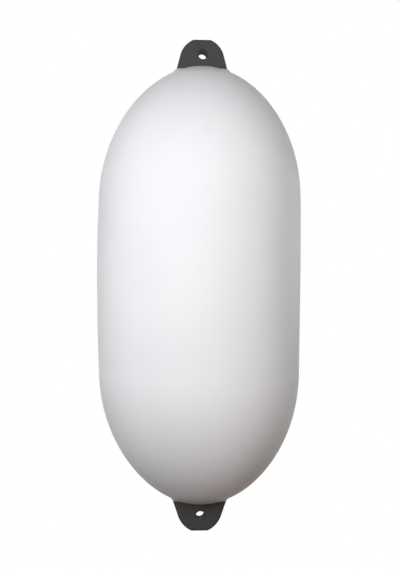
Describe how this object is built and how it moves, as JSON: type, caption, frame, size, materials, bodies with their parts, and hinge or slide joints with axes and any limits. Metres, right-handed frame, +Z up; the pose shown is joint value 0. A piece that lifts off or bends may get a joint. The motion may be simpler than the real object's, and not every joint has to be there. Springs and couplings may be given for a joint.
{
  "type": "inflatable boat fender",
  "caption": "Long inflatable boat fender with a hollow white skin, rounded ends and a dark flat eye with a rope hole at each end.",
  "frame": {"origin": "centre of the rope hole in the top eye, from which the fender hangs", "axes": "+Z up along the fender's long axis, Y along the rope holes with the front towards -Y, X across the width of the eyes"},
  "size_m": [0.3, 0.3, 0.722],
  "materials": {
    "white_pvc": "satin",
    "dark_pvc": "satin",
    "valve_rubber": "matte"
  },
  "bodies": {
    "root": {"fender_skin": "white_pvc", "top_eye": "dark_pvc", "bottom_eye": "dark_pvc", "inflation_valve": "valve_rubber"}
  },
  "joints": []
}
